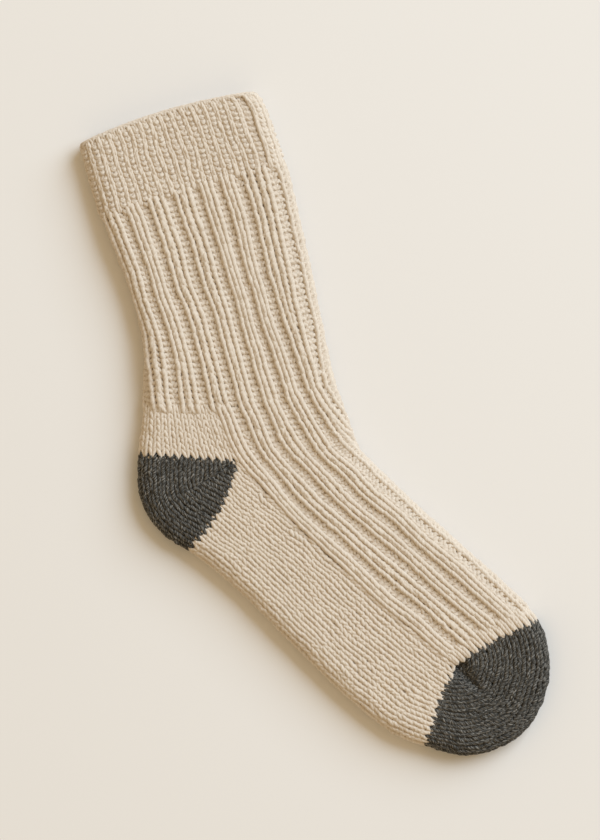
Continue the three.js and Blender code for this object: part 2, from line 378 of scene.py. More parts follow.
@dataclass(frozen=True)
class Fold:
    """The cross-section of the cloth's middle layer where it folds over an edge."""

    plan: SockPlan
    steps: int = 64

    @property
    def inset(self) -> float:
        """How far the middle of the cloth lies behind its outer edge."""
        return self.plan.wall / 2

    @property
    def half_height(self) -> float:
        """Half the distance between the middles of the two layers."""
        return (self.plan.flat_height - self.plan.wall) / 2

    def quarter(self) -> tuple[Array, Array, Array]:
        """Follows a quarter of the fold, from its outermost line inwards.

        Returns:
            The arc length, the distance in from the outer edge, and the height.
        """
        turn = np.linspace(0.0, math.pi / 2, self.steps)
        reach = self.inset + (self.plan.fold_run - self.inset) * (1.0 - np.cos(turn))
        height = self.half_height * np.sin(turn)
        arc = np.concatenate([[0.0], np.cumsum(np.hypot(np.diff(reach), np.diff(height)))])
        return arc, reach, height

    def spare(self) -> float:
        """Returns how much longer the cloth is than its plan, for one fold."""
        return float(self.quarter()[0][-1]) - self.plan.fold_run

    def at(self, arc: Array) -> tuple[Array, Array, Array, Array]:
        """Reads the cross-section of the upper layer by arc length from the fold.

        Args:
            arc: Distances along the cloth from its outermost line.

        Returns:
            The distance in from the outer edge, the height over the middle, and the
            outward direction's two parts: towards the edge, and up.
        """
        arcs, reach, height = self.quarter()
        beyond = np.maximum(arc - arcs[-1], 0.0)
        near = np.minimum(arc, arcs[-1])
        inside = np.interp(near, arcs, reach) + beyond
        over = np.interp(near, arcs, height)
        turn = np.interp(near, arcs, np.linspace(0.0, math.pi / 2, self.steps))
        wide, tall = self.plan.fold_run - self.inset, self.half_height
        outwards = np.cos(turn) / wide
        upwards = np.sin(turn) / tall
        size = np.hypot(outwards, upwards)
        return inside, over, outwards / size, upwards / size

    def arc_of(self, inside: Array) -> Array:
        """Returns the arc length from the fold at a plan distance from the outer edge."""
        arcs, reach, _ = self.quarter()
        return np.interp(inside, reach, arcs) + np.maximum(inside - reach[-1], 0.0)


# ------------------------------------------------------------------------------- cloth


@dataclass
class Strand:
    """A finished strand: rings of points, the length up to each, and whether it closes."""

    rings: Array
    along: Array
    closed: bool


@dataclass
class Cloth:
    """A section of the sock's surface: places and outward directions on a grid.

    The first axis counts rows of knitting. The second runs across each row: all the way
    round for a ring, or from one inner end over the fold to the other.
    """

    places: Array
    outward: Array
    lengths: Array

    def at(self, row: Array, share: Array) -> tuple[Array, Array]:
        """Reads the cloth.

        Args:
            row: Rows, which may lie between those of the grid.
            share: Shares across them.

        Returns:
            The places and the outward directions.
        """
        column = np.clip(share, 0.0, 0.9999999) * (self.places.shape[1] - 1)
        outward = read_grid(self.outward, row, column)
        return read_grid(self.places, row, column), unit(outward)

    def pinch(self, much: Array, reach: float) -> None:
        """Draws in the inner ends of the rows, which makes a dimple where they turn.

        Args:
            much: How far, row by row.
            reach: The share of a row over which it is drawn in.
        """
        share = np.linspace(0.0, 1.0, self.places.shape[1])
        near = np.exp(-((np.minimum(share, 1 - share) / reach) ** 2))
        self.places -= self.outward * (much[:, None] * near[None, :])[:, :, None]

    def backing(self, depth: float, around: bool, columns: int = 240) -> Strand:
        """Makes the felted layer of fibres behind the stitches, which closes the gaps.

        Args:
            depth: How far it lies behind the middle of the cloth.
            around: Whether the cloth meets itself.
            columns: How finely it follows the cloth.

        Returns:
            A thin closed shell.
        """
        thick = 0.5 * MM
        share = np.arange(columns) / columns if around else np.linspace(0.0, 1.0, columns)
        rows = len(self.places)
        sides = []
        for deep, order in ((depth, range(rows)), (depth + thick, range(rows - 1, -1, -1))):
            for row in order:
                places, outward = self.at(np.full(columns, row * 0.999999), share)
                sides.append(places - outward * deep)
        rings = np.stack(sides, axis=1)
        run = np.linspace(0.0, float(self.lengths.mean()), columns + (1 if around else 0))
        return Strand(rings, run, around)


class WaleMap:
    """Where each wale, a column of stitches, lies across every row."""

    PER_WALE = 10
    WAVES = 16
    ROW_PACE = 0.08  # how quickly the wandering changes from row to row
    TURNS = 6  # how often it may change across a row
    FADE_ROWS = 4

    def __init__(self, first: float, last: float, nodes: Sequence[tuple[Array, Array]]) -> None:
        """Tabulates the wales.

        Args:
            first: The lowest wale number.
            last: The highest wale number.
            nodes: For each row, known wale numbers and their shares of the row.
        """
        self.first = first
        count = int(round((last - first) * self.PER_WALE)) + 1
        wales = np.linspace(first, last, count)
        self.table = np.array([np.interp(wales, known, shares) for known, shares in nodes])

    def loosen(self, rng: np.random.Generator, lengths: Array, period: float, much: float) -> None:
        """Lets the wales wander, as in knitting by hand, but not at the first and last row.

        Args:
            rng: The source of the random numbers.
            lengths: The length of cloth across each row.
            period: After how many wales the pattern meets itself.
            much: How far they wander.
        """
        rows, columns = self.table.shape
        row = np.arange(rows)[:, None]
        wale = np.arange(columns)[None, :] / self.PER_WALE
        total = np.zeros((rows, columns))
        for _ in range(self.WAVES):
            turn = row * rng.normal() * self.ROW_PACE
            turn = turn + wale * rng.integers(-self.TURNS, self.TURNS + 1) / period
            total += np.sin(2 * math.pi * (turn + rng.random()))
        fade = ease(np.minimum(row, rows - 1 - row) / self.FADE_ROWS)
        self.table += total * fade * (much / math.sqrt(self.WAVES / 2)) / lengths[:, None]

    def share(self, row: Array, wale: Array) -> Array:
        """Returns the share across each row at which a wale lies."""
        last = self.table.shape[1] - 1.000001
        return read_grid(self.table, row, np.clip((wale - self.first) * self.PER_WALE, 0.0, last))


class ClothMaker:
    """Lays cloth over the plan of the sock."""

    FINE = 120
    ACROSS = 360

    def __init__(self, plan: SockPlan, shift: Array) -> None:
        """Keeps the plan.

        Args:
            plan: The sock's sizes.
            shift: From the plan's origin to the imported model's.
        """
        self.plan = plan
        self.shift = shift
        self.fold = Fold(plan)
        self.outline = plan.outline()
        self.split = plan.split()
        self.facing = plan.facing()

    def _layer(self, line: Array, arc: Array, below: bool) -> tuple[Array, Array]:
        """Places one layer of a row over its line in plan.

        Args:
            line: The row in plan, from its fold inwards.
            arc: Distances along the cloth from the fold.
            below: Whether this is the lower layer.

        Returns:
            The places and the outward directions.
        """
        run = run_of(line)
        inside, over, outwards, upwards = self.fold.at(arc)
        plan_at = read_line(line, run, inside)
        tangent = unit(read_line(line, run, inside + MM) - plan_at + 1e-9)
        side = -1.0 if below else 1.0
        middle = self.plan.flat_height / 2
        places = np.column_stack([plan_at + self.shift, middle + side * over])
        outward = np.column_stack([-tangent * outwards[:, None], side * upwards])
        return places, outward

    def ring(self, rows: Sequence[Array]) -> Cloth:
        """Makes cloth that goes all the way round: upper layer, then lower layer.

        Args:
            rows: Each row in plan, from its back fold to its front fold.

        Returns:
            The cloth, whose rows start and end at the back fold.
        """
        parts = []
        for line in rows:
            layer = run_of(line)[-1] + 2 * self.fold.spare()
            arc = np.linspace(0.0, 2 * layer, self.ACROSS * 2)
            grid, out = np.zeros((len(arc), 3)), np.zeros((len(arc), 3))
            near = [arc, layer - arc, arc - layer, 2 * layer - arc]
            for quarter, distance in enumerate(near):
                chosen = (arc >= layer * quarter / 2) & (arc <= layer * (quarter + 1) / 2)
                path = line if quarter in (0, 3) else line[::-1]
                grid[chosen], out[chosen] = self._layer(path, distance[chosen], quarter > 1)
            parts.append((grid, out, 2 * layer))
        return Cloth(*(np.array(part) for part in zip(*parts)))

    def folded(self, rows: Sequence[Array]) -> Cloth:
        """Makes cloth that wraps one fold: upper layer inwards end first.

        Args:
            rows: Each row in plan, from its fold to its inner end.

        Returns:
            The cloth, whose rows run from the upper inner end over the fold to the
            lower inner end.
        """
        parts = []
        for line in rows:
            layer = run_of(line)[-1] + self.fold.spare()
            arc = np.linspace(0.0, layer, self.ACROSS)
            layers = [self._layer(line, arc, below) for below in (False, True)]
            grid, out = (np.concatenate([top[::-1], low[1:]]) for top, low in zip(*layers))
            parts.append((grid, out, 2 * layer))
        return Cloth(*(np.array(part) for part in zip(*parts)))


# ---------------------------------------------------------------------------- stitches


class Stitch(Enum):
    """Which face of a stitch shows on the outside of the sock."""

    KNIT = 1.0
    PURL = -1.0


@dataclass(frozen=True)
class Yarn:
    """How a yarn is worked."""

    radius: float
    bow: float = 0.16  # how far a loop swings aside, as a share of a stitch's width
    purl_bow: float = 0.24  # the same, where its back shows
    straight_bow: float = 0.05  # the same, in the last row before another yarn
    bead: float = 0.22  # how far a purl's head swells, as a share of the radius
    reach: float = 0.98  # how far a loop reaches up and down, as a share of a row
    depth: float = 0.62 * MM  # how far its legs lie in front of its ends
    rise: float = 0.35 * MM  # how far a knitted rib stands out
    sink: float = 1.35 * MM  # how far a purled gutter lies in
    unevenness: float = 0.06
    sway: float = 0.35  # how much of it moves a leg aside, as a share of a stitch's width
    proud: float = 1.6 * MM  # how much of it moves a leg in or out
    wobble: float = 0.06 * MM
    swelling: float = 0.045  # how much its thickness varies
    blend: tuple[float, float] = (0.12, 0.3)  # where one stitch's face and height become the next's
    backing: float = 0.9 * MM  # how far the felted fibres lie behind the middle of the cloth
    sides: int = 6
    steps: int = 12


@dataclass
class Row:
    """One row of knitting: its stitches, in the order in which they are worked."""

    number: float
    centres: Array  # wale number at each stitch's middle
    widths: Array  # in wales
    kinds: Array  # Stitch values
    closed: bool = False
    reach: Array | None = None  # a factor on the loops' reach, stitch by stitch
    squeeze: Array | None = None  # how far each leg of a stitch is pulled aside
    relief: float = 1.0  # how much of the ribs' height it has
    straight: bool = False  # whether its loops are drawn long and narrow
    lift: Array | None = None  # how far each stitch stands out on top of that


@dataclass
class Knitter:
    """Works rows of stitches into strands of yarn over a cloth."""

    cloth: Cloth  # the surface that the rows follow
    wales: WaleMap  # where the columns of stitches lie on it
    yarn: Yarn
    seed: int  # for the unevenness of hand knitting

    def __post_init__(self) -> None:
        """Starts the random numbers."""
        self.rng = np.random.default_rng(self.seed)

    @staticmethod
    def _blend(values: Array, closed: bool, place: Array, stitch: Array, width: float) -> Array:
        """Reads a value of each stitch along a row, blended where one stitch meets the next.

        Args:
            values: One value for each stitch.
            closed: Whether the last stitch meets the first.
            place: How far through its stitch each point lies.
            stitch: Each point's stitch.
            width: The share of a stitch over which the values blend.

        Returns:
            The value at each point.
        """
        padded = np.pad(values, 1, mode="wrap" if closed else "edge")
        low = ease((width - place) / (2 * width)) * (place < width)
        high = ease((place - 1 + width) / (2 * width)) * (place > 1 - width)
        own, before, after = padded[stitch + 1], padded[stitch], padded[stitch + 2]
        return own * (1 - low - high) + before * low + after * high

    def path(self, row: Row) -> tuple[Array, Array, Array]:
        """Works one row.

        Args:
            row: The stitches.

        Returns:
            The points along the middle of the strand, the outward directions, and how
            much thicker than the yarn the strand is.
        """
        yarn, count = self.yarn, len(row.centres)
        steps = yarn.steps
        total = count * steps + (0 if row.closed else 1)
        turn = np.arange(total) * (2 * math.pi / steps)
        stitch = np.minimum((np.arange(total) // steps), count - 1)
        local = turn - stitch * 2 * math.pi
        uneven = yarn.unevenness
        knit_bow = yarn.straight_bow if row.straight else yarn.bow
        swing = np.where(row.kinds > 0, knit_bow, yarn.purl_bow)
        bow = (swing * (1 + 2 * uneven * self.rng.normal(size=count)))[stitch]
        reach = yarn.reach * (1 + uneven * self.rng.normal(size=count))[stitch]
        if row.reach is not None:
            reach = reach * row.reach[stitch]
        place = local / (2 * math.pi)
        aside = place + bow * np.sin(2 * local)
        if row.squeeze is not None:
            pull = np.where(local < math.pi, row.squeeze[stitch, 0], row.squeeze[stitch, 1])
            aside = aside + pull * np.sin(local) ** 2
        first = local < math.pi
        middle = np.sin(local) ** 2
        sway = self.rng.normal(size=(2, count)) * uneven * yarn.sway
        aside = aside + np.where(first, sway[0][stitch], sway[1][stitch]) * middle
        proud = self.rng.normal(size=(2, count)) * uneven * yarn.proud
        proud = np.where(first, proud[0][stitch], proud[1][stitch]) * middle
        sharp, soft = yarn.blend
        sign = self._blend(row.kinds, row.closed, place, stitch, sharp)
        level = self._blend(row.kinds, row.closed, place, stitch, soft)
        along = row.number - reach * np.cos(local)
        wale = row.centres[stitch] + (aside - 0.5) * row.widths[stitch]
        share = self.wales.share(along, wale) % 1.0
        wobble = wander(self.rng, total, steps) * yarn.wobble
        out = -sign * yarn.depth * np.cos(2 * local) + wobble
        out = out + proud + row.relief * level * np.where(level > 0, yarn.rise, yarn.sink)
        if row.lift is not None:
            out = out + self._blend(row.lift, row.closed, place, stitch, soft)
        places, outward = self.cloth.at(along, share)
        swell = 1 + yarn.bead * np.maximum(-sign, 0) * np.maximum(-np.cos(local), 0) ** 4
        return places + outward * out[:, None], outward, swell

    def strand(self, row: Row) -> Strand:
        """Turns one row of stitches into a round strand that stays over the floor.

        Args:
            row: The stitches.

        Returns:
            The strand.
        """
        points, outward, swell = self.path(row)
        floor = self.yarn.radius * 0.85
        held = np.minimum(points[:, 2], 2 * floor)
        low = floor + np.exp((held - 2 * floor) / floor) * floor
        points[:, 2] = np.where(points[:, 2] < 2 * floor, low, points[:, 2])
        size = self.yarn.radius * swell
        size *= 1 + self.yarn.swelling * wander(self.rng, len(points), self.yarn.steps)
        if not row.closed:
            size[[0, -1]] *= 0.5
        return tube(points, outward, size, self.yarn.sides, row.closed)


def tube(points: Array, outward: Array, size: Array, sides: int, closed: bool) -> Strand:
    """Makes a round strand along points.

    Args:
        points: The middle of the strand.
        outward: The cloth's outward direction at each point.
        size: The strand's radius at each point.
        sides: How many sides it has.
        closed: Whether it joins its own start.

    Returns:
        The strand.
    """
    if closed:
        tangent = unit(np.roll(points, -1, axis=0) - np.roll(points, 1, axis=0))
        ends = np.roll(points, -1, axis=0)
    else:
        tangent = unit(np.gradient(points, axis=0))
        ends = points[1:]
    side = unit(np.cross(tangent, outward))
    upper = np.cross(side, tangent)
    angles = np.arange(sides) * (2 * math.pi / sides)
    spokes = (
        side[:, None, :] * np.cos(angles)[None, :, None]
        + upper[:, None, :] * np.sin(angles)[None, :, None]
    )
    rings = points[:, None, :] + spokes * size[:, None, None]
    run = np.linalg.norm(ends - points[: len(ends)], axis=1)
    return Strand(rings, np.concatenate([[0.0], np.cumsum(run)]), closed)


# ------------------------------------------------------------------------------ meshes


def strands_mesh(name: str, strands: Sequence[Strand]) -> bpy.types.Object:
    """Makes one object of many strands.

    Args:
        name: The piece's name.
        strands: The strands, each a tube that closes on itself or is capped.

    Returns:
        The object, smooth shaded, with a map of lengths along the yarn ("yarn") and a
        map without overlaps ("OFBake").
    """
    vertices, corners, sizes, lengthwise, spread = ([] for _ in range(5))
    offset, height = 0, 1.0 / len(strands)
    for number, strand in enumerate(strands):
        count, sides = strand.rings.shape[:2]
        vertices.append(strand.rings.reshape(-1, 3))
        spans = count if strand.closed else count - 1
        ring, side = np.meshgrid(np.arange(spans), np.arange(sides), indexing="ij")
        ahead, beside = (ring + 1) % count, (side + 1) % sides
        quads = np.stack(
            [ring * sides + side, ahead * sides + side, ahead * sides + beside,
             ring * sides + beside], axis=-1
        ).reshape(-1, 4) + offset
        corners.append(quads.ravel())
        sizes.append(np.full(len(quads), 4))
        u0, u1 = strand.along[ring], strand.along[ring + 1]
        v0, v1 = side / sides, (side + 1) / sides
        mapped = np.stack(
            [np.stack([u0, v0], -1), np.stack([u1, v0], -1), np.stack([u1, v1], -1),
             np.stack([u0, v1], -1)], axis=2
        ).reshape(-1, 2)
        lengthwise.append(mapped)
        flat = mapped.copy()
        flat[:, 0] = 0.002 + 0.996 * flat[:, 0] / strand.along[-1]
        flat[:, 1] = height * (number + 0.04 + 0.92 * flat[:, 1])
        spread.append(flat)
        if not strand.closed:
            for end in (0, count - 1):
                cap = end * sides + np.arange(sides)
                cap = cap[::-1] if end == 0 else cap
                corners.append(cap + offset)
                sizes.append(np.array([sides]))
                where = np.full((sides, 2), [strand.along[min(end, len(strand.along) - 1)], 0.5])
                lengthwise.append(where)
                tight = where.copy()
                tight[:, 0] = 0.001 if end == 0 else 0.999
                tight[:, 1] = height * (number + 0.5)
                spread.append(tight)
        offset += count * sides
    points = np.concatenate(vertices)
    loops = np.concatenate(corners)
    totals = np.concatenate(sizes)
    mesh = bpy.data.meshes.new(name)
    mesh.vertices.add(len(points))
    mesh.vertices.foreach_set("co", points.astype(np.float32).ravel())
    mesh.loops.add(len(loops))
    mesh.loops.foreach_set("vertex_index", loops.astype(np.int32))
    mesh.polygons.add(len(totals))
    starts = np.concatenate([[0], np.cumsum(totals)[:-1]])
    mesh.polygons.foreach_set("loop_start", starts.astype(np.int32))
    mesh.polygons.foreach_set("use_smooth", np.ones(len(totals), dtype=bool))
    for title, values in (("OFBake", spread), ("yarn", lengthwise)):
        layer = mesh.uv_layers.new(name=title)
        layer.uv.foreach_set("vector", np.concatenate(values).astype(np.float32).ravel())
    mesh.update(calc_edges=True)
    mesh.validate()
    piece = bpy.data.objects.new(name, mesh)
    bpy.context.scene.collection.objects.link(piece)
    return piece


# -------------------------------------------------------------------------- materials


@dataclass(frozen=True)
class WoolFinish:
    """A plied wool yarn: heathered colour, its twist in bumps and in painted shade between the
    plies, and soft fibres.
    """

    name: str
    slot: str
    colour: tuple[float, float, float]
    fleck: tuple[float, float, float]
    fleck_share: float  # how strongly the flecks show
    painted_shade_and_tone: tuple[float, float, float]  # painted shade in the grooves between the plies, also mixed in at random by the slow cloudy noise as a darker tone
    sheen: float
    ply_shade_share: float  # how strongly the painted shade between the plies shows
    fleck_size: tuple[float, float]  # flecks along a metre of yarn, and across one ply
    ply_pitch: float = 5.5 * MM
    plies: float = 3.0
    fleck_range: tuple[float, float] = (0.46, 0.62)
    cloud_scale: float = 45.0  # of the slow changes from stitch to stitch
    fibre_scale: float = 2400.0
    fibre_share: float = 0.4
    bump_height: float = 0.2 * MM

    @cache
    def build(self) -> bpy.types.Material:
        """Builds the material from nodes, once.

        Returns:
            The material.
        """
        material = bpy.data.materials.new(self.name)
        material.use_nodes = True
        tree = material.node_tree

        def fill(node: bpy.types.Node, inputs: dict[str | int, object]) -> bpy.types.Node:
            """Sets a node's inputs to values, or links them to sockets.

            Args:
                node: The node.
                inputs: Values or sockets, by the input's name or number.

            Returns:
                The node.
            """
            for name, value in inputs.items():
                if isinstance(value, bpy.types.NodeSocket):
                    tree.links.new(value, node.inputs[name])
                else:
                    node.inputs[name].default_value = value
            return node

        def add(kind: str, inputs: dict[str | int, object], **settings: str) -> bpy.types.Node:
            """Adds a node.

            Args:
                kind: Its type, without the prefix that they share.
                inputs: Values or sockets, by the input's name or number.
                **settings: Its other settings.

            Returns:
                The node.
            """
            node = tree.nodes.new("ShaderNode" + kind)
            for name, value in settings.items():
                setattr(node, name, value)
            return fill(node, inputs)

        def maths(operation: str, *values: object) -> bpy.types.NodeSocket:
            """Adds a maths node over values or sockets and returns its output."""
            return add("Math", dict(enumerate(values)), operation=operation).outputs[0]

        def mix(first: object, second: object, share: object) -> bpy.types.NodeSocket:
            """Mixes two colours and returns the result."""
            node = add("Mix", {"A": first, "B": second, "Factor": share}, data_type="RGBA")
            return node.outputs["Result"]

        strand = add("SeparateXYZ", {0: add("UVMap", {}, uv_map="yarn").outputs["UV"]})
        run, side = strand.outputs["X"], strand.outputs["Y"]
        turns = maths("MULTIPLY", run, self.plies / self.ply_pitch)
        across = maths("ADD", turns, maths("MULTIPLY", side, self.plies))
        ply = maths("MULTIPLY_ADD", maths("SINE", maths("MULTIPLY", across, 2 * math.pi)), 0.5, 0.5)
        twisted = add("CombineXYZ", {"X": run, "Y": across}).outputs[0]
        stretch = (*self.fleck_size, 1.0)
        stretched = add("Mapping", {"Vector": twisted, "Scale": stretch}).outputs[0]
        heather = add("TexNoise", {"Vector": stretched, "Scale": 1.0, "Detail": 3.0})
        place = add("TexCoord", {}).outputs["Object"]
        cloudy = add("TexNoise", {"Vector": place, "Scale": self.cloud_scale}).outputs["Fac"]
        fibres = add("TexNoise", {"Vector": place, "Scale": self.fibre_scale, "Detail": 2.0})
        flecks = add("MapRange", {
            "Value": heather.outputs["Fac"], "From Min": self.fleck_range[0],
            "From Max": self.fleck_range[1], "To Max": self.fleck_share,
        }).outputs[0]
        heathered = mix((*self.colour, 1.0), (*self.fleck, 1.0), flecks)
        # The grooves between the plies are painted darker, which is painted shade; the slow cloudy
        # noise mixes in the same darker colour at random as tone.
        ply_shading = maths("MULTIPLY_ADD", ply, self.ply_shade_share, 0.75 - self.ply_shade_share)
        shown = maths("ADD", ply_shading, maths("MULTIPLY", cloudy, 0.5))
        height = maths("MULTIPLY_ADD", fibres.outputs["Fac"], self.fibre_share, ply)
        bump = add("Bump", {"Strength": 0.5, "Distance": self.bump_height, "Height": height})
        fill(tree.nodes["Principled BSDF"], {
            "Base Color": mix((*self.painted_shade_and_tone, 1.0), heathered, shown),
            "Normal": bump.outputs["Normal"],
            "Roughness": 0.92,
            "Specular IOR Level": 0.25,
            "Sheen Weight": self.sheen,
            "Sheen Roughness": 0.6,
            "Sheen Tint": (*self.fleck, 1.0),
        })
        return material


OATMEAL = WoolFinish(
    name="oatmeal_yarn",
    slot="oatmeal_wool",
    colour=(0.685, 0.575, 0.45),
    fleck=(0.80, 0.71, 0.585),
    fleck_share=0.45,
    painted_shade_and_tone=(0.57, 0.465, 0.35),
    sheen=0.25,
    ply_shade_share=0.3,
    fleck_size=(420.0, 3.0),
)
CHARCOAL = WoolFinish(
    name="charcoal_yarn",
    slot="charcoal_wool",
    colour=(0.036, 0.033, 0.027),
    fleck=(0.37, 0.34, 0.29),
    fleck_share=0.68,
    painted_shade_and_tone=(0.012, 0.011, 0.009),
    sheen=0.12,
    ply_shade_share=0.45,
    fleck_size=(380.0, 2.9),
)


# --------------------------------------------------------------------------- sections


@dataclass
class Section:
    """A part of the sock that is knitted in one go."""

    maker: ClothMaker

    @property
    def plan(self) -> SockPlan:
        """The sock's sizes."""
        return self.maker.plan

    def finish(
        self, strands: Sequence[Strand], wool: WoolFinish, names: Sequence[str],
        nodes: Sequence[str],
    ) -> None:
        """Turns strands into dressed pieces that follow one another.

        Args:
            strands: The yarn, shared out evenly between the pieces.
            wool: What it is made of.
            names: The pieces' names.
            nodes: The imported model's nodes that they stand for.
        """
        edges = np.linspace(0, len(strands), len(names) + 1).astype(int)
        for name, first, last in zip(names, edges, edges[1:]):
            piece = strands_mesh(name, strands[first:last])
            piece.data.materials.append(wool.build())
            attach(piece, "root")
            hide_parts(*nodes)
            log.info("%s: %d rows, %d faces", name, last - first, len(piece.data.polygons))

    def knit(
        self, knitter: Knitter, rows: Sequence[Row], wool: WoolFinish, names: Sequence[str],
        nodes: Sequence[str],
    ) -> None:
        """Knits rows, backs them with felted fibres and finishes them.

        Args:
            knitter: What works the rows.
            rows: The stitches.
            wool: What the yarn is made of.
            names: The pieces' names.
            nodes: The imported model's nodes that they stand for.
        """
        strands = [knitter.strand(row) for row in rows]
        strands.append(knitter.cloth.backing(knitter.yarn.backing, rows[0].closed))
        self.finish(strands, wool, names, nodes)


@dataclass(frozen=True)
class Ribbing:
    """How two knit, one purl is worked: the legs of a rib's stitches gather into cords."""

    gutter: float = 4.1 * MM  # the width of a purl column
    closed: float = 1.1 * MM  # its width where the ribs beside it meet
    stitch: float = 4.7 * MM  # the outer stitches of a rib that takes a third between them
    least: float = 1.4 * MM  # the narrowest third stitch
    full: float = 4.5 * MM  # its width once it no longer hides behind its neighbours
    hiding: float = 1.0 * MM
    crowded: float = 0.985  # the share of an open row from which there is no room
    pair: tuple[tuple[float, float], ...] = ((0.07, 0.21), (-0.21, -0.07))
    three: tuple[tuple[float, float], ...] = ((0.12, 0.3), (-0.15, 0.15), (-0.3, -0.12))
    plain: tuple[float, float] = (0.07, -0.07)

    def nodes(
        self, places: Sequence[float], first: float, around: float, narrow: int, much: float
    ) -> tuple[Array, Array]:
        """Returns known wales and their shares of a row from the places of its gutters.

        Args:
            places: The distance along the row of the middle of each purl column.
            first: The wale number of the first purl column's middle.
            around: The row's length.
            narrow: Which purl column closes up.
            much: How far it has closed, from 0 to 1.

        Returns:
            Wale numbers, and their shares of the row's length.
        """
        known, shares = [], []
        for number, place in enumerate(places):
            wale = first + 3 * number
            half = self.gutter / 2
            if number == narrow:
                half += (self.closed - self.gutter) / 2 * much
            known += [wale - 0.5, wale + 0.5]
            shares += [(place - half) / around, (place + half) / around]
        return np.array(known), np.array(shares)

    def row(
        self, number: int, wales: WaleMap, around: float, purls: Array,
        wide: Sequence[float], ends: tuple[float, float] | None = None, relief: float = 1.0,
    ) -> Row:
        """Works out one row of ribbing.

        Args:
            number: The row.
            wales: Where the wales lie.
            around: The row's length.
            purls: The wale numbers of the purl columns' middles.
            wide: The purls after which a rib may take a third stitch.
            ends: The first and last edge of an open row, or none for a round.
            relief: How much of the ribs' height it has; without any it is plain knitting.

        Returns:
            The row.
        """
        at = number + 0.5
        stitches = []
        ribs = [(None, ends[0], purls[0] - 0.5)] if ends else []
        ribs += [(purl, purl + 0.5, purl + 2.5) for purl in purls]
        if ends:
            ribs[-1] = (purls[-1], purls[-1] + 0.5, ends[1])
        for purl, start, end in ribs:
            if purl is not None:
                stitches.append((purl, 1.0, Stitch.PURL.value, (0.0, 0.0), 0.0))
            edges = wales.share(np.full(2, at), np.array([start, end])) * around
            third = edges[1] - edges[0] - 2 * self.stitch
            count = 3 if start - 0.5 in wide and third > self.least else round(end - start)
            parts = np.full(count, (end - start) / count)
            if count == 3:
                parts[1] = (end - start) * third / (third + 2 * self.stitch)
                parts[[0, 2]] = (end - start - parts[1]) / 2
            hidden = 1 - ease((third - self.least) / (self.full - self.least))
            pulls = {1: ((0.0, 0.0),), 2: self.pair, 3: self.three}[count]
            lifts = {1: (0.0,), 2: (0.0, 0.0), 3: (0.0, -self.hiding * hidden, 0.0)}[count]
            middles = start + np.cumsum(parts) - parts / 2
            for middle, width, pull, lift in zip(middles, parts, pulls, lifts):
                stitches.append((middle, width, Stitch.KNIT.value, pull, lift))
        if ends:
            places = wales.share(np.full(len(stitches), at), np.array([s[0] for s in stitches]))
            stitches = [s for s, place in zip(stitches, places) if place < self.crowded]
        centres, widths, kinds, squeeze, lift = (np.array(part) for part in zip(*stitches))
        if not relief:
            kinds, squeeze = np.ones(len(kinds)), np.tile(self.plain, (len(kinds), 1))
        return Row(
            at, centres, widths, kinds, closed=ends is None, squeeze=squeeze, relief=relief,
            lift=lift,
        )


